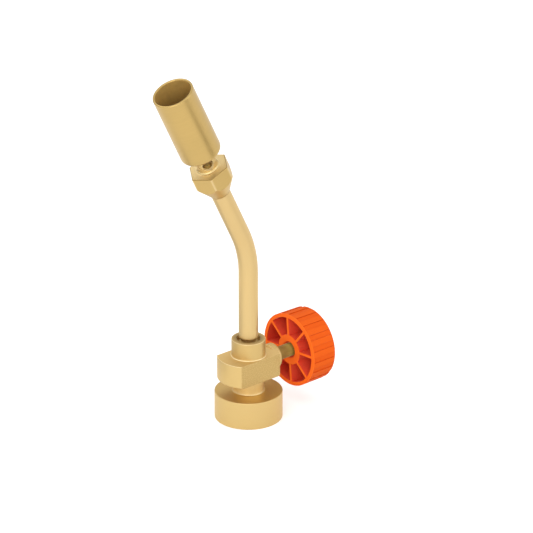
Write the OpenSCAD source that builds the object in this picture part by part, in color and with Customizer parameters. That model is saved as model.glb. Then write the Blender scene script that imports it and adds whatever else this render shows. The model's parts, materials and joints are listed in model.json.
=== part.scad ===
// Brass torch head for a screw-on gas cylinder, with a needle valve, a bent outlet and a tubular burner.
// Millimetres, +Z up. The origin is the centre of the coupling's lower rim.
// The valve stem points along +X and the burner leans towards -X.

/* [Cylinder coupling] */
// Outer diameter of the coupling cup
coupling_d = 34; // [30:0.5:42]
// Diameter of the cylinder thread's wall
thread_d = 25.4; // [22:0.1:28]
// Length of the cylinder thread's wall
thread_l = 7; // [5:0.1:10]
// Height of the chamfer that leads into the thread
lead_in = 0.8; // [0.4:0.1:1.2]
// Height of the relief above the thread
relief_l = 3.4; // [3:0.1:5]
// Depth of the relief beyond the thread's wall
relief_depth = 0.5; // [0.2:0.1:1]
// Thickness of the cup's roof
roof_t = 3.15; // [2:0.05:5]
// Rounding of the cup's outer edges
cup_edge = 0.4; // [0.2:0.1:1]
// Diameter of the neck between the cup and the valve body
neck_d = 15.8; // [13:0.1:19]
// Length of that neck
neck_l = 7; // [5:0.1:10]
// Fillet at the foot of that neck
neck_fillet = 0.7; // [0.3:0.1:1.5]
// Diameter of the spigot that enters the valve body
spigot_d = 10; // [9:0.1:11]
// Length of that spigot
spigot_l = 1.8; // [1.2:0.1:2]

/* [Gas inlet] */
// Diameter of the bore through the coupling's neck
inlet_bore_d = 7.2; // [6:0.1:8]
// Length of the nipple's shank in that bore
nipple_shank_l = 6.4; // [4:0.1:8]
// Diameter of the nipple's flange
nipple_flange_d = 11; // [9.5:0.1:13]
// Thickness of the nipple's flange
nipple_flange_t = 1.2; // [0.8:0.1:1.6]
// Diameter of the nipple's tip
nipple_tip_d = 6; // [5:0.1:6.6]
// Diameter of the nipple's bore
nipple_bore_d = 3.4; // [2.8:0.1:4]
// Thickness of the sealing ring on the nipple
oring_w = 1.6; // [1.2:0.1:1.8]
// Diameter of the pin that opens the cylinder's valve
pin_d = 1.6; // [1.2:0.1:2]
// Thickness of the pin's three-cornered head
pin_head_t = 1.5; // [1:0.1:2]
// Thickness of the inlet filter
inlet_filter_t = 2; // [1.5:0.1:3]

/* [Valve body] */
// Diameter of the body disc
disc_d = 31.4; // [29:0.1:36]
// Height of the body disc
disc_h = 12.1; // [11:0.1:15]
// Width across the two milled flats
flats_w = 19; // [18.4:0.1:22]
// Rounding of the disc's lower edge
disc_round = 0.8; // [0.3:0.1:2]
// Edge break along the top of the disc and of the collar
top_edge = 0.3; // [0.2:0.1:0.6]
// Diameter of the tube collar
collar_d = 17; // [14.5:0.1:18]
// Height of the tube collar above the disc
collar_h = 9; // [7.5:0.1:12]
// Fillet at the foot of the collar
collar_fillet = 0.6; // [0.2:0.1:1]
// Diameter of the recess in the collar's top
recess_d = 11.8; // [10.8:0.1:13]
// Depth of that recess
recess_depth = 2.2; // [2:0.1:4]
// Length of the tube's socket below the recess
socket_l = 3; // [2:0.1:4]

/* [Valve] */
// Height of the stem's axis above the underside of the disc
stem_rise = 6.7; // [6.5:0.1:7.5]
// Diameter of the stem
stem_d = 6.8; // [6:0.1:7.2]
// Diameter of the stem's nose
nose_d = 4.2; // [3.8:0.1:4.6]
// Travel of the stem for one turn of the knob
stem_pitch = 1; // [0.8:0.1:1.2]
// Turns of the knob from closed to fully open
open_turns = 1.5; // [1:0.25:1.75]
// Distance of the valve seat from the body's axis, towards the burner
seat_offset = 1.5; // [1:0.1:2]
// Diameter of the valve's orifice
orifice_d = 2; // [1.6:0.1:2.2]
// Diameter of the ball that closes the orifice
ball_d = 3; // [2.8:0.1:3.2]
// Diameter of the chamber around the stem's nose
chamber_d = 5.2; // [5:0.1:5.6]
// Diameter of the gas way from the inlet up to the orifice
inlet_way_d = 2.2; // [1.8:0.1:2.4]
// Diameter of the gas way from the chamber up to the tube
outlet_way_d = 2.5; // [2:0.1:2.7]
// Distance of that gas way from the body's axis
outlet_way_x = 1.4; // [1:0.1:1.5]

/* [Gland] */
// Diameter of the gland nut's round head
gland_d = 13; // [12:0.1:15]
// Thickness of that head
gland_head_t = 3.2; // [1.8:0.1:4]
// Depth of the spot face for the head below the disc's rim
spot_depth = 2.35; // [2.2:0.05:3]
// Diameter of the gland's thread
gland_thread_d = 9; // [8.8:0.1:9.2]
// Length of the gland's thread
gland_thread_l = 3.2; // [2.8:0.1:4]
// Diameter of the packing's seat
packing_d = 8; // [7.8:0.1:8.2]
// Thickness of the packing
packing_t = 1.5; // [1:0.1:1.8]
// Thickness of the packing's washer
washer_t = 0.6; // [0.4:0.1:0.8]
// Thickness of the stem's stop ring
circlip_t = 0.8; // [0.6:0.1:1]
// Outer diameter of the stem's stop ring
circlip_d = 8.4; // [7.8:0.1:8.6]
// Number of spanner holes in the gland's face
spanner_holes = 4; // [2:1:4]
// Diameter of a spanner hole
spanner_hole_d = 1.6; // [1:0.1:2]
// Depth of a spanner hole
spanner_hole_depth = 1.2; // [0.6:0.1:1.6]

/* [Knob] */
// Diameter of the knob at its open face
knob_d = 37.8; // [34:0.1:42]
// How much smaller the closed end is
knob_taper = 0.3; // [0:0.1:1.6]
// Length of the knob
knob_l = 15; // [12:0.1:18]
// Rounding of the closed end's edge
knob_round = 1.4; // [0.8:0.1:2.4]
// Gap from the gland to the knob's open face
knob_gap = 10.05; // [6:0.05:14]
// Thickness of the rim
rim_t = 1.9; // [1.6:0.1:3]
// Diameter of the hub
hub_d = 15.6; // [12:0.1:18]
// Diameter of the countersink in the hub's face
hub_sink_d = 9; // [8:0.1:11]
// Depth of the countersink where it has narrowed to half the stem
hub_sink = 3.1; // [2.4:0.1:4]
// Thickness of the closed end
knob_floor_t = 3; // [2:0.1:4]
// Number of spokes
spokes = 8; // [4:1:12]
// Thickness of a spoke
spoke_t = 1.15; // [0.8:0.05:2]
// Number of grip grooves
grooves = 20; // [12:1:24]
// Width of a grip groove
groove_w = 3; // [1:0.1:3.6]
// Depth of a grip groove
groove_depth = 0.5; // [0.4:0.05:1.2]
// Distance from the open face to the start of the grip grooves
groove_start = 0.8; // [0.4:0.1:6]
// Length of the stem's hold in the hub
hub_grip = 11; // [8:0.1:11.5]
// Depth of the driving flat on the stem's end
stem_flat = 0.8; // [0.4:0.1:1.2]

/* [Outlet tube] */
// Outer diameter of the tube
tube_d = 9.7; // [9:0.1:10.4]
// Wall of the tube
tube_wall = 1; // [0.8:0.1:1.4]
// Outer diameter of the swaged foot
foot_d = 7.6; // [7:0.1:8]
// Height of the swaged shoulder above the collar's top
shoulder_rise = 0.3; // [0:0.1:1]
// Rounding of the swaged shoulder
shoulder_round = 1; // [0.5:0.1:1.1]
// Length of straight tube from the collar to the bend
tube_rise = 35; // [25:0.5:60]
// Radius of the bend at the tube's centre line
bend_r = 52; // [30:1:80]
// How much the bend draws the tube in
bend_draw = 0.04; // [0.02:0.01:0.2]
// Angle of the bend
bend_angle = 26.3; // [15:0.1:45]
// Length of straight tube from the bend to the mixer
tube_run = 28.7; // [20:0.1:60]

/* [Mixer] */
// Width across the flats of the hexagon
hex_af = 18.2; // [17:0.1:22]
// Length of the hexagon's corner edges
hex_l = 7.1; // [6:0.1:12]
// Turn of the hexagon about the outlet's axis
hex_turn = -5; // [-30:1:30]
// Edge break along the top of the hexagon
hex_edge = 0.3; // [0.2:0.05:0.6]
// Half angle of the tapered foot
cone_angle = 30; // [25:1:40]
// Width of the tapered foot's end around the tube
mixer_foot_land = 0.45; // [0.3:0.05:1.2]
// Depth of the tube's socket in the mixer
mixer_socket_l = 6.5; // [4:0.1:8]
// Diameter of the gas way above the socket
gas_way_d = 5; // [4.4:0.1:5.6]
// Diameter of the neck below the burner
mixer_neck_d = 10.1; // [9.6:0.1:12]
// Length of that neck
mixer_neck_l = 9.2; // [8:0.1:14]
// Fillet at the foot of that neck
mixer_fillet = 1.2; // [0.6:0.1:1.4]
// Diameter of the mixing bore
mix_bore_d = 6.8; // [6:0.1:7.2]
// Number of air holes
air_holes = 4; // [2:1:4]
// Diameter of an air hole
air_hole_d = 5.7; // [3:0.1:6]
// Height of the air holes above the hexagon
air_hole_h = 4.4; // [3.4:0.1:5]
// Direction of the first air hole about the outlet's axis
air_turn = -112; // [-180:1:180]

/* [Gas jet] */
// Diameter of the jet's thread
jet_d = 4; // [3.6:0.1:4.4]
// Length of the jet's thread
jet_l = 4; // [3:0.1:5]
// Diameter of the jet's head
jet_head_d = 5.6; // [5:0.1:5.8]
// Thickness of the jet's head
jet_head_t = 1.6; // [1.2:0.1:2]
// Length of the jet's tip
jet_tip_l = 1.2; // [0.8:0.1:1.6]
// Diameter of the jet's orifice
jet_hole_d = 0.5; // [0.3:0.1:0.8]
// Thickness of the jet's filter
jet_filter_t = 1.5; // [1:0.1:2]

/* [Burner] */
// Outer diameter of the burner cup
burner_d = 20.5; // [18:0.1:26]
// Length of the burner cup
burner_l = 39.9; // [30:0.1:60]
// Wall of the burner cup
burner_wall = 1.2; // [0.7:0.1:1.4]
// Thickness of the burner's floor
burner_floor_t = 1.4; // [1:0.1:2]
// Rounding of the lower edge
burner_round = 2; // [1:0.1:2.4]
// Diameter of the mixer's spigot in the floor
burner_spigot_d = 8.8; // [8.2:0.1:9.2]
// Height of the flame holder above the floor
holder_rise = 5; // [3:0.1:10]
// Thickness of the flame holder
holder_t = 2.4; // [1.5:0.1:4]
// Number of flame ports
ports = 8; // [4:1:10]
// Diameter of a flame port
port_d = 2.6; // [1.5:0.1:3]
// Diameter of the flame holder's centre hole
holder_hole_d = 7; // [5:0.1:8]

/* [Fits] */
// Gap between pieces that are screwed, pressed or brazed together
fit_gap = 0.03; // [0.02:0.01:0.05]
// Gap between the gland's head and its spot face
spot_gap = 0.1; // [0.05:0.05:0.2]
// Gap around the turning stem
run_gap = 0.05; // [0.03:0.01:0.08]

/* [Hidden] */
$fn = 72;
eps = 0.01;
brass = [0.85, 0.69, 0.40];
dark_brass = [0.55, 0.44, 0.22];
steel = [0.70, 0.71, 0.73];
rubber = [0.08, 0.08, 0.08];
white = [0.90, 0.90, 0.88];
orange = [0.95, 0.36, 0.08];

// Heights of the column, from the rim up
thread_top = lead_in + thread_l;
roof_z = thread_top + relief_l;
coupling_h = roof_z + roof_t;
disc_z = coupling_h + neck_l;
disc_top = disc_z + disc_h;
collar_top = disc_top + collar_h;
recess_z = collar_top - recess_depth;
socket_z = recess_z - socket_l;
stem_z = disc_z + stem_rise;
plenum = 0.3;
spigot_socket_l = spigot_l + plenum;

// Inlet levels
nipple_clear = 0.2;
nipple_tip_z = thread_top + nipple_clear;
nipple_seat_z = roof_z - nipple_flange_t;
nipple_top_z = roof_z + nipple_shank_l;
pin_lift = 1;
pin_head_z = roof_z + pin_lift;

// Places along the stem's axis
lift = stem_pitch * open_turns;
stop_gap = 0.3;
spot_x = disc_d / 2 - spot_depth;
gland_out_x = spot_x + gland_head_t;
gland_in_x = spot_x - gland_thread_l;
circlip_x = gland_in_x - stop_gap - lift - circlip_t;
gland_bore_x = circlip_x - stop_gap;
groove_floor = 0.5;
seat_x = -seat_offset;
seat_gap = 0.03;
ball_x = seat_x + sqrt(pow(ball_d / 2, 2) - pow(orifice_d / 2, 2)) + seat_gap;
nose_lip = ball_d / 6;
nose_x = ball_x - nose_lip;
seat_land = 0.4;
inlet_way_x = seat_x - inlet_way_d / 2 - seat_land;
knob_x = gland_out_x + knob_gap;
stem_end_x = knob_x + hub_grip;
hub_end_gap = 0.4;

// Levels along the outlet, from the top face of the hexagon
bend_z = collar_top + tube_rise;
bend_lap = 0.5;
hex_corner_r = hex_af / sqrt(3);
mixer_foot_d = tube_d + 2 * mixer_foot_land;
cone_l = (hex_corner_r - mixer_foot_d / 2) / tan(cone_angle);
mixer_l = hex_l + cone_l;
tube_end = mixer_socket_l - mixer_l;
jet_seat = -1.5;
jet_end = jet_seat - jet_l;
burner_z = mixer_neck_l;
burner_bore_r = burner_d / 2 - burner_wall;
holder_z = burner_z + burner_floor_t + holder_rise;
rim_edge = 0.45 * burner_wall;

// Frame on the stem's axis: local +Z runs along +X from the place x
module along_stem(x) {
    translate([x, 0, stem_z]) rotate([0, 90, 0]) children();
}

// Frame at the end of the bend: local +Z runs along the tube's upper stretch
module past_bend() {
    translate([-bend_r, 0, bend_z]) rotate([0, -bend_angle, 0]) translate([bend_r, 0, 0]) children();
}

// Frame on the top face of the hexagon: local +Z runs along the burner
module on_outlet(h) {
    past_bend() translate([0, 0, tube_run + mixer_l + h]) children();
}

// Plain ring on local +Z
module ring(d_out, d_in, h) {
    difference() {
        cylinder(d = d_out, h = h);
        translate([0, 0, -eps]) cylinder(d = d_in, h = h + 2 * eps);
    }
}

// What a rounded lower corner removes from a profile, with the corner at x = e, y = 0
module corner_waste(e) {
    difference() {
        translate([0, -eps]) square([e + eps, e + eps]);
        translate([0, e]) circle(e);
    }
}

// Half profile of a turned bar with rounded lower and upper edges
module turned(r, h, low, high) {
    difference() {
        square([r, h]);
        if (low > 0) translate([r - low, 0]) corner_waste(low);
        if (high > 0) translate([r - high, h]) mirror([0, 1]) corner_waste(high);
    }
}

// Fillet around a turned foot of radius r at height 0
module foot_fillet(r, f) {
    rotate_extrude() translate([r - eps, -eps]) difference() {
        square([f + eps, f + eps]);
        translate([f + eps, f + eps]) circle(f);
    }
}

module cylinder_coupling() {
    color(brass) difference() {
        union() {
            rotate_extrude() turned(coupling_d / 2, coupling_h, cup_edge, cup_edge);
            cylinder(d = neck_d, h = disc_z);
            translate([0, 0, coupling_h]) foot_fillet(neck_d / 2, neck_fillet);
            cylinder(d = spigot_d, h = disc_z + spigot_l);
        }
        translate([0, 0, -eps]) cylinder(d1 = thread_d + 2 * (lead_in + eps), d2 = thread_d, h = lead_in + eps);
        cylinder(d = thread_d, h = thread_top + eps);
        translate([0, 0, thread_top]) cylinder(d = thread_d + 2 * relief_depth, h = relief_l);
        translate([0, 0, roof_z - eps]) cylinder(d = inlet_bore_d, h = disc_z + spigot_l - roof_z + 2 * eps);
    }
}

// Shank in the coupling's bore, flange against the roof and a tip for the sealing ring
module inlet_nipple() {
    color(brass) difference() {
        union() {
            translate([0, 0, nipple_tip_z]) cylinder(d = nipple_tip_d, h = roof_z - nipple_tip_z);
            translate([0, 0, nipple_seat_z]) cylinder(d = nipple_flange_d, h = nipple_flange_t);
            translate([0, 0, roof_z - eps])
                cylinder(d = inlet_bore_d - 2 * fit_gap, h = nipple_shank_l + eps);
        }
        translate([0, 0, nipple_tip_z - eps])
            cylinder(d = nipple_bore_d, h = nipple_top_z - nipple_tip_z + 2 * eps);
    }
}

module nipple_oring() {
    color(rubber) translate([0, 0, nipple_seat_z - oring_w / 2 - fit_gap])
        rotate_extrude() translate([nipple_tip_d / 2 + oring_w / 2 + fit_gap, 0]) circle(d = oring_w);
}

// Pin whose three-cornered head is pressed into the nipple and lets the gas pass
module depressor_pin() {
    color(steel) {
        translate([0, 0, nipple_tip_z]) cylinder(d = pin_d, h = pin_head_z - nipple_tip_z + eps);
        translate([0, 0, pin_head_z]) cylinder(d = nipple_bore_d - 2 * fit_gap, h = pin_head_t, $fn = 3);
    }
}

module inlet_filter() {
    color(dark_brass) translate([0, 0, nipple_top_z])
        cylinder(d = inlet_bore_d - 2 * fit_gap, h = inlet_filter_t);
}

// Turned disc with two milled flats, and the tube collar on top
module body_blank() {
    intersection() {
        translate([0, 0, disc_z]) rotate_extrude() turned(disc_d / 2, disc_h, disc_round, top_edge);
        translate([-disc_d, -flats_w / 2, 0]) cube([2 * disc_d, flats_w, disc_top]);
    }
    translate([0, 0, disc_top - eps]) rotate_extrude() turned(collar_d / 2, collar_h + eps, 0, top_edge);
    translate([0, 0, disc_top])
        foot_fillet(collar_d / 2, min(collar_fillet, (flats_w - collar_d) / 2 - top_edge));
}

// Gas ways: inlet socket, inlet way, orifice, chamber, outlet way and tube socket
module body_ways() {
    translate([0, 0, disc_z - eps]) cylinder(d = spigot_d + 2 * fit_gap, h = spigot_socket_l + eps);
    translate([inlet_way_x, 0, disc_z + spigot_l])
        cylinder(d = inlet_way_d, h = stem_z - disc_z - spigot_l + orifice_d / 2);
    along_stem(inlet_way_x) cylinder(d = orifice_d, h = seat_x - inlet_way_x + eps);
    along_stem(seat_x) cylinder(d = chamber_d, h = gland_bore_x - seat_x + eps);
    translate([outlet_way_x, 0, stem_z]) cylinder(d = outlet_way_d, h = socket_z - stem_z + eps);
    translate([0, 0, socket_z]) cylinder(d = foot_d + 2 * fit_gap, h = socket_l + eps);
    translate([0, 0, recess_z]) cylinder(d = recess_d, h = recess_depth + eps);
}

module valve_body() {
    color(brass) difference() {
        body_blank();
        body_ways();
        along_stem(gland_bore_x) cylinder(d = gland_thread_d + 2 * fit_gap, h = spot_x - gland_bore_x + eps);
        along_stem(spot_x) cylinder(d = gland_d + 2 * spot_gap, h = disc_d);
    }
}

// Round gland with spanner holes in its outer face and the packing's seat inside
module gland_nut() {
    seat_l = packing_t + washer_t;
    hole_ring_r = (stem_d + gland_d) / 4;
    color(brass) difference() {
        union() {
            along_stem(gland_in_x) cylinder(d = gland_thread_d, h = gland_thread_l + eps);
            along_stem(spot_x) rotate_extrude() turned(gland_d / 2, gland_head_t, 0, top_edge);
        }
        along_stem(gland_in_x - eps) cylinder(d = packing_d, h = seat_l + eps);
        along_stem(gland_in_x) cylinder(d = stem_d + 2 * run_gap, h = gland_thread_l + gland_head_t + eps);
        for (k = [0 : spanner_holes - 1]) along_stem(gland_out_x - spanner_hole_depth)
            rotate([0, 0, k * 360 / spanner_holes]) translate([hole_ring_r, 0, 0])
                cylinder(d = spanner_hole_d, h = spanner_hole_depth + eps);
    }
}

module packing_washer() {
    color(steel) along_stem(gland_in_x)
        ring(packing_d - 2 * fit_gap, stem_d + 2 * run_gap, washer_t);
}

module stem_packing() {
    color(white) along_stem(gland_in_x + washer_t)
        ring(packing_d - 2 * fit_gap, stem_d + 2 * run_gap, packing_t);
}

module needle_ball() {
    color(steel) along_stem(ball_x) sphere(d = ball_d);
}

// Nose with a socket for the ball, a groove for the stop ring and a flat for the knob
module valve_stem() {
    groove_d = stem_d - 2 * groove_floor;
    color(dark_brass) difference() {
        union() {
            along_stem(nose_x) cylinder(d = nose_d, h = circlip_x - nose_x);
            along_stem(circlip_x - stop_gap / 2) cylinder(d = groove_d, h = circlip_t + stop_gap / 2 + eps);
            along_stem(circlip_x + circlip_t) cylinder(d = stem_d, h = stem_end_x - circlip_x - circlip_t);
        }
        along_stem(ball_x) sphere(d = ball_d + 2 * run_gap);
        along_stem(knob_x + hub_end_gap) translate([stem_d / 2 - stem_flat, -stem_d, 0])
            cube([stem_d, 2 * stem_d, hub_grip]);
    }
}

module stem_circlip() {
    color(steel) along_stem(circlip_x)
        ring(circlip_d, stem_d - 2 * groove_floor + 2 * fit_gap, circlip_t - fit_gap);
}

// One grip groove: a flat floor between sloped walls, from its start out through the closed end, at local +X
module grip_groove() {
    floor_r = (knob_d - knob_taper) / 2 - groove_depth;
    lean = atan(knob_taper / 2 / knob_l);
    wall_slope = 0.35;
    over = 1;
    floor_w = groove_w - 2 * wall_slope * groove_depth;
    mouth_h = groove_depth + over;
    mouth_w = groove_w + 2 * wall_slope * over;
    translate([floor_r, 0, knob_l]) rotate([0, -lean, 0]) translate([0, 0, groove_start - knob_l])
        linear_extrude(height = knob_l - groove_start + over)
            polygon([[0, -floor_w / 2], [mouth_h, -mouth_w / 2], [mouth_h, mouth_w / 2], [0, floor_w / 2]]);
}

// Barrel of the knob, tapering from the open face to a rounded closed end
module knob_barrel() {
    end_r = (knob_d - knob_taper) / 2;
    rotate_extrude() difference() {
        polygon([[0, 0], [knob_d / 2, 0], [end_r, knob_l - knob_round], [end_r, knob_l], [0, knob_l]]);
        translate([end_r - knob_round, knob_l]) mirror([0, 1]) corner_waste(knob_round);
    }
}

// Spoked knob, drawn with its open face at local height 0
module knob() {
    first_turn = 175;
    groove_turn = 5;
    pocket_l = knob_l - knob_floor_t;
    color(orange) along_stem(knob_x) rotate([0, 0, first_turn]) difference() {
        knob_barrel();
        difference() {
            translate([0, 0, -eps]) ring(knob_d - 2 * rim_t, hub_d, pocket_l + eps);
            for (k = [0 : spokes - 1]) rotate([0, 0, k * 360 / spokes])
                translate([0, -spoke_t / 2, -eps]) cube([knob_d, spoke_t, knob_l]);
        }
        for (k = [0 : grooves - 1]) rotate([0, 0, groove_turn + k * 360 / grooves]) grip_groove();
        translate([0, 0, -eps]) cylinder(d1 = hub_sink_d, d2 = stem_d / 2, h = hub_sink + eps);
        rotate([0, 0, -first_turn]) difference() {
            translate([0, 0, -eps]) cylinder(d = stem_d + 2 * fit_gap, h = hub_grip + hub_end_gap + eps);
            translate([stem_d / 2 - stem_flat + fit_gap, -stem_d, hub_end_gap + fit_gap])
                cube([stem_d, 2 * stem_d, hub_grip]);
        }
    }
}

// Half profile of the straight lower stretch, with the swaged shoulder and its foot
module tube_foot_profile() {
    shoulder_z = collar_top + shoulder_rise;
    top_z = bend_z + bend_lap;
    bore_r = tube_d / 2 - tube_wall;
    foot_bore_r = foot_d / 2 - tube_wall;
    difference() {
        union() {
            translate([0, socket_z]) square([foot_d / 2, shoulder_z - socket_z + eps]);
            translate([0, shoulder_z]) turned(tube_d / 2, top_z - shoulder_z, shoulder_round, 0);
        }
        translate([0, socket_z - eps]) square([foot_bore_r, top_z - socket_z]);
        translate([0, shoulder_z + tube_wall]) square([bore_r, top_z - shoulder_z]);
    }
}

// The bend is a hair slimmer than the straight lengths, which lap its ends
module outlet_tube() {
    bore_d = tube_d - 2 * tube_wall;
    color(brass) {
        rotate_extrude() tube_foot_profile();
        translate([-bend_r, 0, bend_z]) rotate([90, 0, 0]) rotate_extrude(angle = bend_angle)
            translate([bend_r, 0]) difference() {
                circle(d = tube_d - bend_draw);
                circle(d = bore_d + bend_draw);
            }
        past_bend() translate([0, 0, -bend_lap]) ring(tube_d, bore_d, bend_lap + tube_run + mixer_socket_l);
    }
}

// Filler metal that has run into the recess around the tube's foot
module braze_ring() {
    wall_climb = 0.5;
    tube_climb = 1.5;
    r0 = foot_d / 2 + fit_gap;
    r1 = recess_d / 2 - fit_gap;
    color(dark_brass) translate([0, 0, recess_z]) rotate_extrude()
        polygon([[r0, 0], [r1, 0], [r1, wall_climb], [r0, tube_climb]]);
}

// Hexagon with a tapered foot, with its top face at local height 0 and the edges of that face broken
module hex_blank() {
    first_face = 30;
    difference() {
        intersection() {
            translate([0, 0, -mixer_l]) rotate([0, 0, hex_turn]) cylinder(r = hex_corner_r, h = mixer_l, $fn = 6);
            translate([0, 0, -mixer_l])
                cylinder(d1 = mixer_foot_d, d2 = mixer_foot_d + 2 * mixer_l * tan(cone_angle), h = mixer_l);
        }
        for (k = [0 : 5]) rotate([0, 0, hex_turn + first_face + k * 60])
            translate([hex_af / 2 - hex_edge, 0, 0]) rotate([0, 45, 0])
                translate([-hex_af, -hex_af, 0]) cube(2 * hex_af);
    }
}

// Hexagon and the neck that carries the air holes
module mixer_hex() {
    spigot_top = burner_floor_t;
    color(brass) on_outlet(0) difference() {
        union() {
            hex_blank();
            translate([0, 0, -eps]) cylinder(d = mixer_neck_d, h = mixer_neck_l + eps);
            foot_fillet(mixer_neck_d / 2, mixer_fillet);
            cylinder(d = burner_spigot_d, h = mixer_neck_l + spigot_top);
        }
        translate([0, 0, -mixer_l - eps]) cylinder(d = tube_d + 2 * fit_gap, h = mixer_socket_l + eps);
        translate([0, 0, tube_end - eps]) cylinder(d = gas_way_d, h = jet_end - tube_end + eps);
        translate([0, 0, jet_end - eps]) cylinder(d = jet_d + 2 * fit_gap, h = jet_l + 2 * eps);
        translate([0, 0, jet_seat]) cylinder(d = mix_bore_d, h = mixer_neck_l + spigot_top - jet_seat + eps);
        for (k = [0 : air_holes - 1]) rotate([0, 0, air_turn + k * 360 / air_holes])
            translate([0, 0, air_hole_h]) rotate([0, 90, 0]) cylinder(d = air_hole_d, h = mixer_neck_d);
    }
}

// Filler fillet where the tube enters the mixer
module mixer_braze() {
    leg = mixer_foot_land - fit_gap;
    color(dark_brass) on_outlet(-mixer_l) rotate_extrude()
        polygon([
            [tube_d / 2 + fit_gap, -fit_gap],
            [tube_d / 2 + fit_gap + leg, -fit_gap],
            [tube_d / 2 + fit_gap, -fit_gap - 2 * leg]
        ]);
}

module gas_jet() {
    way_d = 1.8;
    land_l = 1;
    tip_d = 1.6;
    color(dark_brass) on_outlet(jet_seat) difference() {
        union() {
            translate([0, 0, -jet_l]) cylinder(d = jet_d, h = jet_l + eps);
            cylinder(d = jet_head_d, h = jet_head_t, $fn = 6);
            translate([0, 0, jet_head_t - eps]) cylinder(d1 = jet_d, d2 = tip_d, h = jet_tip_l + eps);
        }
        translate([0, 0, -jet_l - eps]) cylinder(d = way_d, h = jet_l + jet_head_t + jet_tip_l - land_l + eps);
        translate([0, 0, -jet_l]) cylinder(d = jet_hole_d, h = jet_l + jet_head_t + jet_tip_l + eps);
    }
}

module jet_filter() {
    color(dark_brass) on_outlet(jet_end - jet_filter_t) cylinder(d = gas_way_d - 2 * fit_gap, h = jet_filter_t);
}

module burner_cup() {
    inner_round = max(0.3, burner_round - burner_wall);
    color(brass) on_outlet(burner_z) difference() {
        rotate_extrude() difference() {
            turned(burner_d / 2, burner_l, burner_round, rim_edge);
            translate([0, burner_floor_t]) turned(burner_bore_r, burner_l, inner_round, 0);
            translate([burner_bore_r + rim_edge, burner_l]) mirror([1, 0]) mirror([0, 1]) corner_waste(rim_edge);
        }
        translate([0, 0, -eps]) cylinder(d = burner_spigot_d + 2 * fit_gap, h = burner_floor_t + 2 * eps);
    }
}

module flame_holder() {
    port_ring_r = (holder_hole_d / 2 + burner_bore_r) / 2;
    color(dark_brass) on_outlet(holder_z) difference() {
        cylinder(r = burner_bore_r - fit_gap, h = holder_t);
        translate([0, 0, -eps]) cylinder(d = holder_hole_d, h = holder_t + 2 * eps);
        for (k = [0 : ports - 1]) rotate([0, 0, k * 360 / ports])
            translate([port_ring_r, 0, -eps]) cylinder(d = port_d, h = holder_t + 2 * eps);
    }
}

cylinder_coupling();
inlet_nipple();
nipple_oring();
depressor_pin();
inlet_filter();
valve_body();
gland_nut();
stem_packing();
packing_washer();
needle_ball();
valve_stem();
stem_circlip();
knob();
outlet_tube();
braze_ring();
mixer_hex();
mixer_braze();
gas_jet();
jet_filter();
burner_cup();
flame_holder();
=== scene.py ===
import json
import math

import bmesh
import bpy
from mathutils import Euler, Matrix, Vector


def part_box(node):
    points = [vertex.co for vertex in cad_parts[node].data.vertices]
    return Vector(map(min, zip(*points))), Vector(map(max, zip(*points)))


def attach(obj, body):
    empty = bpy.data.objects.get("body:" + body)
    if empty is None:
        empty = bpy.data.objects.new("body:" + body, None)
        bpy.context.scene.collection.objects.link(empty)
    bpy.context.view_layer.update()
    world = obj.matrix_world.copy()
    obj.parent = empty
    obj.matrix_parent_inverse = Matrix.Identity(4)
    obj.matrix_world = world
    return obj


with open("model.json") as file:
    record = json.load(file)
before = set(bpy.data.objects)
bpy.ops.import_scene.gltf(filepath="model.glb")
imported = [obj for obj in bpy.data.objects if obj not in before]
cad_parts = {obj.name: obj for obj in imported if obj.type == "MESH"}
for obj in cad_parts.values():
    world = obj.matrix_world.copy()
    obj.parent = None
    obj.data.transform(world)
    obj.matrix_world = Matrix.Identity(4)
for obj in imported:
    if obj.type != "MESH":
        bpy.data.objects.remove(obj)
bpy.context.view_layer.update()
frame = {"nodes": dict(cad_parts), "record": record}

MM = 0.001

# Knob, body, burner and cylinder thread, as the frame gives them
knob_low, knob_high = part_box("knob")
KNOB_X = knob_low.x
KNOB_BACK_X = knob_high.x
KNOB_R = knob_high.y
STEM_Z = (knob_low.z + knob_high.z) / 2
body_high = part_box("valve_body")[1]
FLAT_Y = body_high.y
COLLAR_TOP = body_high.z
BURNER_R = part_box("burner_cup")[1].y
thread = next(mount for mount in frame["record"]["mounts"] if mount["name"] == "cylinder_thread")
THREAD_R = thread["dims"]["r_mm"] * MM
THREAD_L = thread["dims"]["length_mm"] * MM
THREAD_Z = thread["pos_m"][2]

# Ridge of the cylinder thread, 20 threads to the inch, and how far it stays from the thread's ends
THREAD_PITCH = 1.27 * MM
THREAD_DEPTH = 0.62 * MM
THREAD_MARGIN = 0.6 * MM

# Knob's rim, closed end and grooves
RIM_T = 1.9 * MM
KNOB_FLOOR_T = 3 * MM
GROOVE_DEPTH = 0.5 * MM
POCKET_DEPTH = KNOB_BACK_X - KNOB_X - KNOB_FLOOR_T

# Collar on the body: the height just above its fillet, its radius and the radius of the tube's recess
COLLAR_FOOT = 34.2 * MM
COLLAR_R = 8.5 * MM
RECESS_R = 5.9 * MM

# Tube: its rise from the collar, its bend, and the way from the bend to the top of the hexagon
TUBE_RISE = 35 * MM
BEND_Z = COLLAR_TOP + TUBE_RISE
BEND_R = 52 * MM
BEND = math.radians(26.3)
PAST_BEND = 44.82 * MM

# Mixer: its hexagon with broken edges, and the neck with its fillet
HEX_FLAT_R = 9.1 * MM
HEX_CORNER_R = HEX_FLAT_R / math.cos(math.pi / 6)
HEX_EDGE = 0.3 * MM
NECK_L = 9.2 * MM
NECK_FILLET = 1.2 * MM

# Burner, measured along the outlet from the top of the hexagon
BURNER_L = 39.9 * MM
BURNER_WALL = 1.2 * MM
BURNER_FLOOR_T = 1.4 * MM
BURNER_BORE_R = BURNER_R - BURNER_WALL
BURNER_FLOOR = NECK_L + BURNER_FLOOR_T
BURNER_MOUTH = NECK_L + BURNER_L

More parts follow.
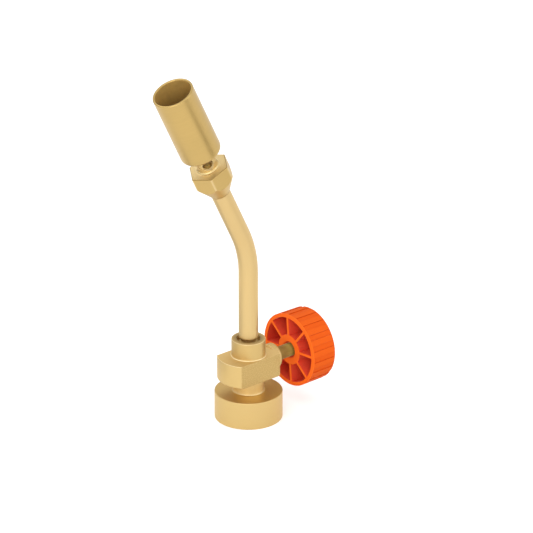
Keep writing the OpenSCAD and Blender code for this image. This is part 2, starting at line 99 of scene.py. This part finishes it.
# Frames of the turned pieces: a point on the axis, and the turn that carries +Z onto the axis
COLUMN = ((0, 0, 0), (0, 0, 0))
STEM = ((0, 0, STEM_Z), (0, math.pi / 2, 0))
KNOB = ((KNOB_X, 0, STEM_Z), STEM[1])
HEX_TOP = (-BEND_R * (1 - math.cos(BEND)) - PAST_BEND * math.sin(BEND),
           0,
           BEND_Z + BEND_R * math.sin(BEND) + PAST_BEND * math.cos(BEND))
OUTLET = (HEX_TOP, (0, -BEND, 0))

# How far a mask reaches past the face that it ends on
SLACK = 0.05 * MM

# Colours, linear
BRASS = (0.672, 0.482, 0.2)
BRASS_WARM = (0.70, 0.47, 0.17)
BRASS_BRIGHT = (0.93, 0.74, 0.42)
# Painted light: paler brass laid in corners and on chamfers
BRASS_PAINTED_LIGHT = (1.0, 0.84, 0.50)
FACE_BRASS = (0.69, 0.47, 0.172)
DISC_BRASS = (0.69, 0.49, 0.195)
TUBE_BRASS = (0.668, 0.487, 0.226)
MIXER_BRASS = (0.59, 0.412, 0.152)
BURNER_BRASS = (0.527, 0.363, 0.131)
STEM_BRASS = (0.405, 0.286, 0.09)
# Oxide, also laid as painted shade and a painted dark reflection
OXIDE_AND_SHADE = (0.30, 0.18, 0.05)
SOOT = (0.56, 0.36, 0.105)
FILLER = (0.60, 0.41, 0.15)
FILLER_DARK = (0.34, 0.21, 0.06)
BRONZE = (0.30, 0.18, 0.07)
BRONZE_DARK = (0.08, 0.045, 0.015)
STEEL = (0.55, 0.56, 0.58)
STEEL_DARK = (0.35, 0.36, 0.38)
RUBBER = (0.012, 0.012, 0.012)
RUBBER_BLOOM = (0.030, 0.029, 0.028)
PACKING = (0.78, 0.78, 0.75)
PACKING_BLOOM = (0.66, 0.66, 0.63)
ORANGE = (1.0, 0.163, 0.0175)
# Painted highlight on the knob's edges
ORANGE_EDGE_HIGHLIGHT = (1.0, 0.20, 0.03)
# Painted shade on the knob's grip side
ORANGE_GRIP_SHADE = (0.68, 0.098, 0.0102)
ORANGE_SHADE = (0.64, 0.062, 0.006)
# Painted shade on the knob's groove walls
ORANGE_DEEP = (0.44, 0.040, 0.004)
ORANGE_MIRRORED = (1.0, 0.96, 0.80)
# Painted shade: the knob's pockets laid deep red
POCKET_SHADE_RED = (0.80, 0.081, 0.038)
POCKET_SHADE = (0.60, 0.035, 0.016)
FLOOR_GREY = (0.80, 0.80, 0.80)
FLOOR_PALE = (0.82, 0.82, 0.82)
FLAG_BACK = (0.65, 0.65, 0.65)
FLAG_CAMERA = (0.25, 0.25, 0.25)
FLAG_FLOOR = (0.31, 0.28, 0.22)
FLAG_LEFT = (0.72, 0.72, 0.72)
WHITE = (1, 1, 1, 1)
BLACK = (0, 0, 0, 1)

# Scales of the noises, in cells to the metre
TOOL_MARKS = 7000.0
TOOL_BANDS = 700.0
TURNED_CLOUDS = 60.0
MILLED_GRAIN = 2000.0
SOOT_SPOTS = 400.0
DRAWN_STREAKS = 2600.0
DRAWN_BANDS = 500.0
DRAWN_CLOUDS = 50.0
FILLER_GRAIN = 1800.0
BRONZE_GRAIN = 3600.0
STEEL_GRAIN = 2600.0
METAL_CLOUDS = 300.0
SPARK_GRAIN = 3200.0
PLASTIC_CLOUDS = 90.0
PEBBLE = 4200.0
BLOOM = 260.0
FLOOR_SPOTS = 300.0

# Light: the sky's strength for diffuse rays, the floor's lifts to white, and the point that lamps face
SKY = 0.95
FLOOR_LIFT = 0.36
FLOOR_SHINE = 0.24
LIT_POINT = (-0.01, 0, 0.08)

# Floor: half its width, and how far it lies below the rim that the head stands on
FLOOR_HALF = 4.0
FLOOR_DROP = 0.05 * MM

# Camera: the photo's viewing angle, and how far the picture's middle lies from a point on the upright axis
VIEW_AZIMUTH = math.radians(-130.3196)
VIEW_ELEVATION = math.radians(24.3148)
VIEW_DISTANCE = 2.0
VIEW_HEIGHT = 60 * MM
AIM_RIGHT = 8.978 * MM
AIM_UP = 19.324 * MM
LENS_MM = 273.63
SENSOR_MM = 36


class Nodes:
    """Node tree with short calls for the nodes used here. A value is a number or another node's output."""

    def __init__(self, tree):
        self.tree = tree
        self.tree.nodes.clear()

    def node(self, kind, inputs=None, **settings):
        made = self.tree.nodes.new(kind)
        for key, value in settings.items():
            setattr(made, key, value)
        for key, value in (inputs or {}).items():
            self.feed(made.inputs[key], value)
        return made

    def feed(self, socket, value):
        if isinstance(value, bpy.types.NodeSocket):
            self.tree.links.new(value, socket)
        else:
            socket.default_value = value

    def math(self, operation, a, b=0.0, clamp=False):
        made = self.node("ShaderNodeMath", {0: a, 1: b}, operation=operation, use_clamp=clamp)
        return made.outputs[0]

    def add(self, a, b):
        return self.math("ADD", a, b)

    def subtract(self, a, b):
        return self.math("SUBTRACT", a, b)

    def times(self, a, b):
        return self.math("MULTIPLY", a, b)

    def larger(self, a, b):
        return self.math("MAXIMUM", a, b)

    def above(self, value, limit):
        return self.math("GREATER_THAN", value, limit)

    def below(self, value, limit):
        return self.math("LESS_THAN", value, limit)

    def size(self, value):
        return self.math("ABSOLUTE", value)

    def vector(self, operation, a, b=(0, 0, 0)):
        made = self.node("ShaderNodeVectorMath", {0: a, 1: b}, operation=operation)
        return made.outputs["Value" if operation in ("LENGTH", "DOT_PRODUCT") else "Vector"]

    def coords(self, kind):
        return self.node("ShaderNodeTexCoord").outputs[kind]

    def local(self, place):
        """Object coordinates in a frame, which is an origin and the turn that carries +Z onto its axis."""
        inputs = {"Vector": self.coords("Object"), "Location": place[0], "Rotation": place[1]}
        return self.node("ShaderNodeMapping", inputs, vector_type="TEXTURE").outputs["Vector"]

    def turned(self, vector, turn):
        """A direction carried by a frame's turn, from the frame to object space."""
        inputs = {"Vector": vector, "Rotation": turn}
        return self.node("ShaderNodeVectorRotate", inputs, rotation_type="EULER_XYZ").outputs["Vector"]

    def to_world(self, vector):
        """A direction carried from object space to the world."""
        made = self.node("ShaderNodeVectorTransform", {0: vector}, vector_type="VECTOR",
                         convert_from="OBJECT", convert_to="WORLD")
        return made.outputs["Vector"]

    def split(self, vector):
        made = self.node("ShaderNodeSeparateXYZ", {0: vector})
        return made.outputs["X"], made.outputs["Y"], made.outputs["Z"]

    def join(self, x, y, z):
        return self.node("ShaderNodeCombineXYZ", {0: x, 1: y, 2: z}).outputs["Vector"]

    def around(self, x, y):
        """The direction that runs around a frame's axis."""
        return self.join(self.times(y, -1.0), x, 0.0)

    def noise(self, vector, scale, detail=3.0, roughness=0.55):
        inputs = {"Vector": vector, "Scale": scale, "Detail": detail, "Roughness": roughness}
        return self.node("ShaderNodeTexNoise", inputs).outputs["Fac"]

    def noise_line(self, along, scale, detail=3.0):
        inputs = {"W": along, "Scale": scale, "Detail": detail, "Roughness": 0.6}
        return self.node("ShaderNodeTexNoise", inputs, noise_dimensions="1D").outputs["Fac"]

    def remap(self, value, low, high, to_low, to_high):
        inputs = {"Value": value, "From Min": low, "From Max": high, "To Min": to_low, "To Max": to_high}
        return self.node("ShaderNodeMapRange", inputs).outputs["Result"]

    def spread(self, noise, low, high):
        """A value from low to high over the usual range of a noise."""
        return self.remap(noise, 0.3, 0.7, low, high)

    def peaks(self, noise, most):
        """A share that grows to most where a noise is high."""
        return self.remap(noise, 0.35, 0.7, 0.0, most)

    def dips(self, noise, most):
        """A share that grows to most where a noise is low."""
        return self.remap(noise, 0.35, 0.65, most, 0.0)

    def mix(self, share, a, b):
        """One colour laid over another by a share."""
        made = self.node("ShaderNodeMix", data_type="RGBA")
        self.feed(made.inputs["Factor"], share)
        for socket, value in ((made.inputs[6], a), (made.inputs[7], b)):
            self.feed(socket, value if isinstance(value, bpy.types.NodeSocket) else (*value, 1.0))
        return made.outputs[2]

    def blend(self, share, a, b):
        """One number laid over another by a share."""
        return self.node("ShaderNodeMix", {"Factor": share, "A": a, "B": b}).outputs["Result"]

    def rays(self, kind):
        return self.node("ShaderNodeLightPath").outputs[kind]

    def mirrored(self):
        """Marks the rays that metal or glass sends on."""
        return self.larger(self.rays("Is Glossy Ray"), self.rays("Is Transmission Ray"))


class Surface(Nodes):
    """Material with one principled shader, whose colour is laid on in coats."""

    def __init__(self, name, base=None):
        self.material = bpy.data.materials.new(name)
        self.material.use_nodes = True
        super().__init__(self.material.node_tree)
        self.shader = self.node("ShaderNodeBsdfPrincipled")
        self.node("ShaderNodeOutputMaterial", {"Surface": self.shader.outputs["BSDF"]})
        self.colour = base

    def lay(self, share, colour):
        """Lays a coat over the colour so far."""
        self.colour = self.mix(share, self.colour, colour)

    def shade(self, inputs):
        """Feeds the shader's sockets and gives the material."""
        for key, value in inputs.items():
            self.feed(self.shader.inputs[key], value)
        return self.material

    def relief(self, height, strength, distance, edge=0.0):
        """Normals of a fine relief, on edges that look rounded by edge."""
        inputs = {"Height": height, "Strength": strength, "Distance": distance}
        if edge > 0:
            inputs["Normal"] = self.node("ShaderNodeBevel", {"Radius": edge}, samples=6).outputs["Normal"]
        return self.node("ShaderNodeBump", inputs).outputs["Normal"]

    def openness(self, distance, own=False):
        """How open a place is. own counts the piece itself alone, without its neighbours."""
        made = self.node("ShaderNodeAmbientOcclusion", {"Distance": distance}, samples=8, only_local=own)
        return made.outputs["AO"]

    def edges(self, distance):
        """How near a place is to a sharp edge."""
        made = self.node("ShaderNodeAmbientOcclusion", {"Distance": distance}, samples=8, inside=True)
        return self.math("SUBTRACT", 1.0, made.outputs["AO"], clamp=True)


class TurnedBrass(Surface):
    """Satin brass with faint tool marks around an axis. Each call lays a feature over the earlier ones."""

    def __init__(self, name, place, base=BRASS, rough=0.40):
        super().__init__(name, base)
        self.turn = place[1]
        self.point = self.local(place)
        self.x, self.y, self.z = self.split(self.point)
        self.radius = self.vector("LENGTH", self.join(self.x, self.y, 0.0))
        axis = Euler(self.turn).to_matrix() @ Vector((0, 0, 1))
        self.upright = self.vector("DOT_PRODUCT", self.coords("Normal"), tuple(axis))
        along = self.add(self.z, self.radius)
        marks = self.times(self.noise_line(along, TOOL_MARKS), 0.6)
        bands = self.times(self.noise_line(along, TOOL_BANDS, 2.0), 0.4)
        self.tool = self.add(marks, bands)
        self.mean_rough = rough
        self.rough = self.spread(self.tool, rough - 0.03, rough + 0.03)
        self.metallic = 1.0
        self.lay(self.peaks(self.noise(self.point, TURNED_CLOUDS), 0.16), BRASS_WARM)
        self.lay(self.remap(self.tool, 0.3, 0.65, 0.14, 0.0), BRASS_WARM)

    def roughen(self, share, rough):
        """Lays a roughness over the one so far."""
        self.rough = self.blend(share, self.rough, rough)

    def off_chamfer(self):
        """How far a face leans from a chamfer of 45 degrees."""
        return self.size(self.subtract(self.upright, math.cos(math.pi / 4)))

    def milled_flats(self, half_width):
        """Matt, grained flats on both sides of the axis."""
        flat = self.above(self.size(self.y), half_width - SLACK)
        grain = self.noise(self.point, MILLED_GRAIN)
        self.tool = self.blend(flat, self.tool, grain)
        self.roughen(flat, self.mean_rough + 0.08)
        self.lay(self.times(flat, 0.75), BURNER_BRASS)
        self.lay(self.times(flat, self.remap(grain, 0.5, 0.7, 0.0, 0.3)), OXIDE_AND_SHADE)
        self.lay(self.times(flat, self.remap(grain, 0.5, 0.3, 0.0, 0.3)), BRASS_BRIGHT)

    def fine_turning(self, height, rough):
        """Darker turning above a height, with a roughness of its own and its gloss across the marks."""
        fine = self.above(self.z, height)
        self.roughen(fine, rough)
        self.lay(self.times(fine, 0.3), BURNER_BRASS)
        self.shade({"Anisotropic Rotation": self.times(fine, 0.25)})

    def painted_corner_light(self, amount=0.9, reach=8 * MM, own=False):
        """Painted light: paler, less metallic brass in corners, which lifts the shade there. own leaves out
        corners with other pieces.
        """
        openness = self.openness(reach, own)
        # painted light: corners laid paler and less metallic
        self.lay(self.remap(openness, 0.3, 0.9, amount, 0.0), BRASS_PAINTED_LIGHT)
        self.metallic = self.remap(openness, 0.3, 0.9, 1.0 - 0.7 * amount, 1.0)

    def end_faces(self, colour, rough):
        """Faces across the axis."""
        ended = self.remap(self.size(self.upright), 0.8, 0.97, 0.0, 1.0)
        self.lay(ended, colour)
        self.roughen(ended, rough)
        self.metallic = self.blend(ended, self.metallic, 1.0)

    def heat_stain(self, height, inner, outer):
        """Stain of a brazed joint above a height, full at the inner radius and gone at the outer one."""
        heated = self.remap(self.radius, inner, outer, 1.0, 0.0)
        self.lay(self.times(heated, self.above(self.z, height)), OXIDE_AND_SHADE)

    def worn_edges_and_glints(self, chamfer_glint=0.0):
        """Brighter sharp edges from wear, and a painted highlight on each chamfer, by the share given."""
        self.lay(self.remap(self.edges(0.45 * MM), 0.1, 0.45, 0.0, 0.12), BRASS_BRIGHT)
        # painted highlight on faces that lean 45 degrees
        if chamfer_glint > 0:
            self.lay(self.remap(self.off_chamfer(), 0.12, 0.35, chamfer_glint, 0.0), BRASS_PAINTED_LIGHT)

    def hexagon(self):
        """Mixer's hexagon: a painted highlight on its upright edges, a painted dark reflection along its
        chamfered top edges and a smooth fillet on the neck above it.
        """
        fillet = self.times(self.above(self.z, SLACK), self.below(self.z, 1.25 * NECK_FILLET))
        self.roughen(fillet, self.mean_rough - 0.14)
        # painted highlight along the hexagon's upright edges
        corner_highlight = self.remap(self.radius, HEX_CORNER_R - 0.4 * MM, HEX_CORNER_R - 0.1 * MM, 0.0, 0.45)
        self.lay(self.times(corner_highlight, self.below(self.z, -HEX_EDGE)), BRASS_BRIGHT)
        # painted dark reflection along the hexagon's chamfered top edges
        dark_edge_reflection = self.remap(self.off_chamfer(), 0.1, 0.2, 0.8, 0.0)
        dark_edge_reflection = self.times(dark_edge_reflection, self.above(self.radius, HEX_FLAT_R - 2 * HEX_EDGE))
        self.lay(self.times(dark_edge_reflection, self.above(self.z, -2 * HEX_EDGE)), OXIDE_AND_SHADE)

    def sooty_bore_and_shade(self, radius, floor, mouth):
        """Bore that the flame has darkened, from its floor up, with painted shade that grows deeper in and
        fades towards its mouth.
        """
        dark = self.times(self.below(self.radius, radius + SLACK), self.above(self.z, floor))
        soot = self.mix(self.spread(self.noise(self.point, SOOT_SPOTS, 4.0), 0.0, 0.25), SOOT, OXIDE_AND_SHADE)
        # painted shade: darker deeper in the bore, none near its mouth
        soot = self.mix(self.remap(self.z, mouth - 14 * MM, mouth - 5 * MM, 0.35, 0.0), soot, OXIDE_AND_SHADE)
        self.lay(dark, soot)
        self.roughen(dark, 0.5)
        self.metallic = self.blend(dark, self.metallic, 0.35)

    def finish(self, edge=0.12 * MM):
        """Gives the material, with its gloss drawn out around the axis."""
        return self.shade({
            "Base Color": self.colour,
            "Metallic": self.metallic,
            "Roughness": self.rough,
            "Specular IOR Level": 0.10,
            "Anisotropic": 0.35,
            "Tangent": self.to_world(self.turned(self.around(self.x, self.y), self.turn)),
            "Normal": self.relief(self.tool, 0.16, 0.02 * MM, edge),
        })


def coupling_brass():
    """Cup with its neck, and the nipple inside it."""
    g = TurnedBrass("brass_coupling", COLUMN)
    g.painted_corner_light(own=True)
    g.end_faces(FACE_BRASS, rough=0.50)
    g.worn_edges_and_glints()
    return g.finish()


def body_brass():
    """Valve body: a turned disc with milled flats, and a collar that brazing has stained."""
    g = TurnedBrass("brass_body", COLUMN)
    g.milled_flats(FLAT_Y)
    g.fine_turning(COLLAR_FOOT, rough=0.42)
    g.painted_corner_light(0.3)
    g.end_faces(DISC_BRASS, rough=0.72)
    g.heat_stain(COLLAR_TOP - 0.3 * MM, RECESS_R, COLLAR_R + 0.4 * MM)
    # painted highlight on the chamfers of the disc and the collar
    g.worn_edges_and_glints(chamfer_glint=0.75)
    return g.finish(edge=0.35 * MM)


def mixer_brass():
    """Mixer: a hexagon with a filleted neck."""
    g = TurnedBrass("brass_mixer", OUTLET, MIXER_BRASS)
    g.painted_corner_light(0.72, reach=16 * MM)
    g.worn_edges_and_glints()
    g.hexagon()
    return g.finish()


def burner_brass():
    """Burner, smoother on its rim and sooty inside."""
    g = TurnedBrass("brass_burner", OUTLET, BURNER_BRASS, rough=0.32)
    g.fine_turning(BURNER_MOUTH - 0.7 * MM, rough=0.21)
    g.painted_corner_light()
    g.worn_edges_and_glints()
    g.sooty_bore_and_shade(BURNER_BORE_R, BURNER_FLOOR, BURNER_MOUTH)
    return g.finish()


def plain_brass(name, place, base, rough, corners=False):
    """Small turned piece, with or without painted light in its corners."""
    g = TurnedBrass(name, place, base, rough)
    if corners:
        g.painted_corner_light()
    g.worn_edges_and_glints()
    return g.finish()


def drawn_brass():
    """Drawn tube: fine streaks that follow its straight lengths and its bend."""
    g = Surface("brass_tube", TUBE_BRASS)
    point = g.coords("Object")
    x, y, z = g.split(point)
    from_x = g.add(x, BEND_R)
    from_z = g.subtract(z, BEND_Z)
    in_bend = g.vector("LENGTH", g.join(from_x, 0.0, from_z))
    past_bend = g.add(g.times(from_x, math.cos(BEND)), g.times(from_z, math.sin(BEND)))
    turn = g.math("ARCTAN2", from_z, from_x)
    across = g.blend(g.above(turn, 0.0), from_x, in_bend)
    across = g.blend(g.above(turn, BEND), across, past_bend)
    drawn = g.join(across, y, g.times(z, 0.02))
    streaks = g.noise(drawn, DRAWN_STREAKS)
    g.lay(g.peaks(g.noise(point, DRAWN_CLOUDS), 0.15), BRASS_WARM)
    g.lay(g.dips(g.noise(drawn, DRAWN_BANDS, 2.0), 0.12), BRASS_WARM)
    # painted shade in the tube's crevices, where it goes into the collar and the mixer
    g.lay(g.remap(g.openness(1.6 * MM), 0.2, 0.75, 0.3, 0.0), OXIDE_AND_SHADE)
    return g.shade({
        "Base Color": g.colour,
        "Metallic": 1.0,
        "Roughness": g.spread(streaks, 0.38, 0.45),
        "Normal": g.relief(streaks, 0.14, 0.02 * MM, edge=0.12 * MM),
    })


def grained_metal(name, base, dark, rough, scale, strength):
    """Small cast, sintered or brazed metal with an even grain."""
    g = Surface(name, base)
    point = g.coords("Object")
    grain = g.noise(point, scale, 4.0, 0.65)
    g.lay(g.remap(grain, 0.35, 0.7, 0.7, 0.0), dark)
    # painted shade in crevices
    g.lay(g.remap(g.openness(1.2 * MM), 0.2, 0.8, 0.5, 0.0), dark)
    return g.shade({
        "Base Color": g.colour,
        "Metallic": 1.0,
        "Roughness": g.spread(g.noise(point, METAL_CLOUDS), rough - 0.06, rough + 0.08),
        "Normal": g.relief(grain, strength, 0.05 * MM, edge=0.1 * MM),
    })


def moulded_plastic():
    """Orange knob: a fine spark grain, painted shade on its grip side, in its grooves and in its pockets,
    which are laid deep red, and a painted highlight on its high edges.

    The brass shows it pale, as in the photo, whose brass has no orange in it.
    """
    g = Surface("orange_plastic", ORANGE)
    point = g.local(KNOB)
    x, y, z = g.split(point)
    radius = g.vector("LENGTH", g.join(x, y, 0.0))
    grain = g.noise(point, SPARK_GRAIN)
    g.lay(g.peaks(g.noise(point, PLASTIC_CLOUDS), 0.12), ORANGE_SHADE)
    g.lay(g.dips(grain, 0.10), ORANGE_SHADE)

    grip = g.above(radius, KNOB_R - 0.9 * MM)
    # painted shade: the grip side laid darker than the knob's face
    g.lay(g.times(grip, g.remap(z, 0.2 * MM, 0.5 * MM, 0.0, 0.85)), ORANGE_GRIP_SHADE)
    groove = g.times(grip, g.below(radius, KNOB_R - 0.8 * GROOVE_DEPTH))
    # painted shade on the groove floors
    g.lay(g.times(groove, 0.15), ORANGE_SHADE)
    sideways = g.turned(g.vector("NORMALIZE", g.around(x, y)), KNOB[1])
    wall = g.size(g.vector("DOT_PRODUCT", g.coords("Normal"), sideways))
    # painted shade on the groove walls
    g.lay(g.times(grip, g.remap(wall, 0.4, 0.8, 0.0, 0.6)), ORANGE_DEEP)
    # painted highlight on the knob's edges
    g.lay(g.remap(g.edges(0.4 * MM), 0.45, 0.85, 0.0, 0.3), ORANGE_EDGE_HIGHLIGHT)

    # painted shade: the pockets laid deep red
    inside = g.times(g.below(radius, KNOB_R - RIM_T + SLACK), g.below(z, POCKET_DEPTH + SLACK))
    pocket_shade = g.mix(g.dips(grain, 0.2), POCKET_SHADE_RED, POCKET_SHADE)
    g.lay(g.times(inside, g.remap(z, SLACK, 0.5 * MM, 0.0, 1.0)), pocket_shade)
    g.lay(g.rays("Is Glossy Ray"), ORANGE_MIRRORED)
    return g.shade({
        "Base Color": g.colour,
        "Specular IOR Level": 0.02,
        "Roughness": g.spread(grain, 0.46, 0.56),
        "Normal": g.relief(grain, 0.10, 0.03 * MM, edge=0.12 * MM),
    })


def soft_stuff(name, base, bloom, rough):
    """Rubber ring and white packing: faint mould bloom over a fine pebble."""
    g = Surface(name, base)
    point = g.coords("Object")
    pebble = g.noise(point, PEBBLE)
    g.lay(g.peaks(g.noise(point, BLOOM), 0.6), bloom)
    return g.shade({
        "Base Color": g.colour,
        "Roughness": g.spread(pebble, rough - 0.05, rough + 0.08),
        "Normal": g.relief(pebble, 0.2, 0.03 * MM),
    })


def floor_white():
    """White floor, lit as any pale surface. Its lift for the camera and for reflections keeps the shadow."""
    g = Surface("floor_white", FLOOR_GREY)
    g.lay(g.spread(g.noise(g.coords("Object"), FLOOR_SPOTS, 2.0), 0.0, 1.0), FLOOR_PALE)
    seen = g.times(g.rays("Is Camera Ray"), FLOOR_LIFT)
    return g.shade({
        "Base Color": g.colour,
        "Roughness": 0.9,
        "Specular IOR Level": 0.0,
        "Emission Color": WHITE,
        "Emission Strength": g.larger(seen, g.times(g.mirrored(), FLOOR_SHINE)),
    })


def flag_grey(name, colour):
    """Even grey that gives off light and reflects none."""
    return Surface(name).shade({
        "Base Color": BLACK,
        "Specular IOR Level": 0.0,
        "Emission Color": (*colour, 1),
        "Emission Strength": 1.0,
    })


def mesh_object(name, bm, material):
    """Turns a bmesh into an object of the scene."""
    mesh = bpy.data.meshes.new(name)
    bm.to_mesh(mesh)
    bm.free()
    mesh.materials.append(material)
    made = bpy.data.objects.new(name, mesh)
    bpy.context.scene.collection.objects.link(made)
    return made


def ring_point(radius, turn, height):
    """Point of a circle around the upright axis."""
    return (radius * math.cos(turn), radius * math.sin(turn), height)


def cylinder_thread(material):
    """Ridge of the cylinder thread, wound up the cup's wall and run out at both ends."""
    per_turn = 64
    fade = 20
    least_rise = 0.12
    bite = 0.06 * MM
    root = THREAD_R + bite
    half_root = 0.46 * THREAD_PITCH
    half_crest = 0.07 * THREAD_PITCH
    steps = round((THREAD_L - 2 * THREAD_MARGIN) / THREAD_PITCH * per_turn)
    bm = bmesh.new()
    rings = []
    for i in range(steps + 1):
        turn = 2 * math.pi * i / per_turn
        height = THREAD_Z + THREAD_MARGIN + THREAD_PITCH * i / per_turn
        rise = min(1, i / fade, (steps - i) / fade)
        crest = root - (THREAD_DEPTH + bite) * max(rise, least_rise)
        profile = ((root, -half_root), (crest, -half_crest), (crest, half_crest), (root, half_root))
        rings.append([bm.verts.new(ring_point(r, turn, height + h)) for r, h in profile])
    for low, high in zip(rings, rings[1:]):
        for k in range(len(low)):
            bm.faces.new((low[k - 1], low[k], high[k], high[k - 1]))
    bm.faces.new(rings[0])
    bm.faces.new(rings[-1])
    bmesh.ops.recalc_face_normals(bm, faces=bm.faces)
    made = mesh_object("cylinder_thread", bm, material)
    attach(made, "head")


def gate_mark(material):
    """Low dome and ring that the mould's gate leaves in the middle of the knob's closed end."""
    dome = ((0.0, 0.16), (0.5, 0.15), (0.8, 0.08), (0.95, -0.05))
    ring = ((2.2, -0.05), (2.3, 0.05), (2.6, 0.05), (2.7, -0.05))
    profile = [(r * MM, h * MM) for r, h in dome + ring]
    per_turn = 48
    turns = [2 * math.pi * k / per_turn for k in range(per_turn)]
    bm = bmesh.new()
    top = bm.verts.new((0, 0, profile[0][1]))
    rings = [[bm.verts.new(ring_point(r, turn, h)) for turn in turns] for r, h in profile[1:]]
    for k in range(per_turn):
        bm.faces.new((top, rings[0][k - 1], rings[0][k]))
        for low, high in zip(rings, rings[1:]):
            bm.faces.new((low[k - 1], high[k - 1], high[k], low[k]))
    bm.transform(Matrix.Translation((KNOB_BACK_X, 0, STEM_Z)) @ Euler(KNOB[1]).to_matrix().to_4x4())
    bmesh.ops.recalc_face_normals(bm, faces=bm.faces)
    made = mesh_object("knob_gate_mark", bm, material)
    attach(made, "stem")


def dress_nodes():
    """Gives each CAD node its material, and adds the thread's ridge and the gate mark."""
    coupling = coupling_brass()
    plastic = moulded_plastic()
    filler = grained_metal("brass_filler", FILLER, FILLER_DARK, rough=0.45, scale=FILLER_GRAIN, strength=0.4)
    bronze = grained_metal("sintered_bronze", BRONZE, BRONZE_DARK, rough=0.62, scale=BRONZE_GRAIN,
                           strength=0.9)
    steel = grained_metal("steel", STEEL, STEEL_DARK, rough=0.28, scale=STEEL_GRAIN, strength=0.15)
    looks = {
        "cylinder_coupling": coupling,
        "inlet_nipple": coupling,
        "nipple_oring": soft_stuff("rubber", RUBBER, RUBBER_BLOOM, rough=0.55),
        "depressor_pin": steel,
        "inlet_filter": bronze,
        "valve_body": body_brass(),
        "gland_nut": plain_brass("brass_gland", STEM, BRASS, rough=0.5, corners=True),
        "stem_packing": soft_stuff("packing", PACKING, PACKING_BLOOM, rough=0.45),
        "packing_washer": steel,
        "needle_ball": steel,
        "valve_stem": plain_brass("brass_stem", STEM, STEM_BRASS, rough=0.48),
        "stem_circlip": steel,
        "knob": plastic,
        "outlet_tube": drawn_brass(),
        "braze_ring": filler,
        "mixer_hex": mixer_brass(),
        "mixer_braze": filler,
        "gas_jet": plain_brass("brass_jet", OUTLET, STEM_BRASS, rough=0.5),
        "jet_filter": bronze,
        "burner_cup": burner_brass(),
        "flame_holder": plain_brass("brass_holder", OUTLET, STEM_BRASS, rough=0.48, corners=True),
    }
    for node, material in looks.items():
        materials = frame["nodes"][node].data.materials
        materials.clear()
        materials.append(material)
    cylinder_thread(coupling)
    gate_mark(plastic)


def add_floor():
    """Wide floor, a hair below the rim that the head stands on."""
    bm = bmesh.new()
    signs = ((-1, -1), (1, -1), (1, 1), (-1, 1))
    bm.faces.new([bm.verts.new((x * FLOOR_HALF, y * FLOOR_HALF, -FLOOR_DROP)) for x, y in signs])
    floor = mesh_object("studio_floor", bm, floor_white())


def add_sky():
    """White sky, at full strength for the camera and for reflections."""
    world = bpy.data.worlds.new("studio_world")
    world.use_nodes = True
    g = Nodes(world.node_tree)
    full = g.larger(g.rays("Is Camera Ray"), g.mirrored())
    strength = g.remap(full, 0.0, 1.0, SKY, 1.0)
    background = g.node("ShaderNodeBackground", {"Color": WHITE, "Strength": strength})
    g.node("ShaderNodeOutputWorld", {"Surface": background.outputs["Background"]})
    bpy.context.scene.world = world


def aim(made, place, target):
    """Puts a lamp or a camera into the scene, at a place and facing a target."""
    made.location = place
    made.rotation_euler = (Vector(target) - Vector(place)).to_track_quat("-Z", "Y").to_euler()
    bpy.context.scene.collection.objects.link(made)


def add_light(name, place, size, watts):
    """Flat rectangular lamp that faces the object."""
    data = bpy.data.lights.new(name, "AREA")
    data.shape = "RECTANGLE"
    data.size, data.size_y = size
    data.energy = watts
    lamp = bpy.data.objects.new(name, data)
    aim(lamp, place, LIT_POINT)
    return lamp


def add_lights():
    """Large soft lamps, and one by the camera that lights the knob's pockets and leaves no mark on brass."""
    add_light("key_light", place=(-1.0, -0.75, 1.15), size=(2.0, 2.0), watts=5.4)
    add_light("fill_light", place=(0.75, -1.35, 0.75), size=(1.2, 1.0), watts=3.2)
    add_light("left_light", place=(-1.2, -0.9, 0.45), size=(1.4, 0.9), watts=3.8)
    add_light("back_light", place=(-0.6, 1.1, 1.2), size=(1.2, 0.8), watts=2.2)
    front = add_light("front_light", place=(-0.8, -1.0, 0.75), size=(0.8, 0.5), watts=3.2)
    front.visible_glossy = False


def add_flag(name, colour, degrees, first, last):
    """Card that only reflections see, as a studio's dark side.

    It spans degrees around the upright axis, between two arcs. An arc is its radius and its height.
    """
    turns = [math.radians(turn) for turn in degrees]
    bm = bmesh.new()
    start, end = [[bm.verts.new(ring_point(r, turn, h)) for turn in turns] for r, h in (first, last)]
    for k in range(1, len(turns)):
        bm.faces.new((start[k - 1], start[k], end[k], end[k - 1]))
    card = mesh_object(name, bm, flag_grey(name, colour))
    card.visible_camera = False
    card.visible_diffuse = False
    card.visible_transmission = False
    card.visible_shadow = False


def add_flags():
    """A wall behind, the camera's side, a patch of floor that marks the burner and one on the left."""
    add_flag("flag_back", FLAG_BACK, range(10, 151, 10), first=(1.4, 0.02), last=(1.4, 0.95))
    add_flag("flag_camera", FLAG_CAMERA, range(-145, -114, 10), first=(2.2, 0.6), last=(2.2, 1.5))
    add_flag("flag_floor", FLAG_FLOOR, range(-70, -35, 5), first=(0.27, 0.004), last=(0.42, 0.004))
    add_flag("flag_left", FLAG_LEFT, range(60, 156, 5), first=(0.07, 0.004), last=(0.13, 0.004))


def add_camera():
    """Camera at the photo's viewing angle, aimed at the middle of the photo's frame."""
    level = math.cos(VIEW_ELEVATION)
    back = Vector(ring_point(level, VIEW_AZIMUTH, math.sin(VIEW_ELEVATION)))
    right = Vector((0, 0, 1)).cross(back).normalized()
    up = back.cross(right)
    centre = Vector((0, 0, VIEW_HEIGHT))
    data = bpy.data.cameras.new("photo_camera")
    data.lens = LENS_MM
    data.sensor_width = SENSOR_MM
    data.clip_start = 0.05
    data.clip_end = 50
    camera = bpy.data.objects.new("photo_camera", data)
    aim(camera, centre + VIEW_DISTANCE * back, centre + AIM_RIGHT * right + AIM_UP * up)
    bpy.context.scene.camera = camera


bpy.context.scene.view_settings.view_transform = "Standard"
add_camera()
add_floor()
add_sky()
add_lights()
add_flags()
dress_nodes()
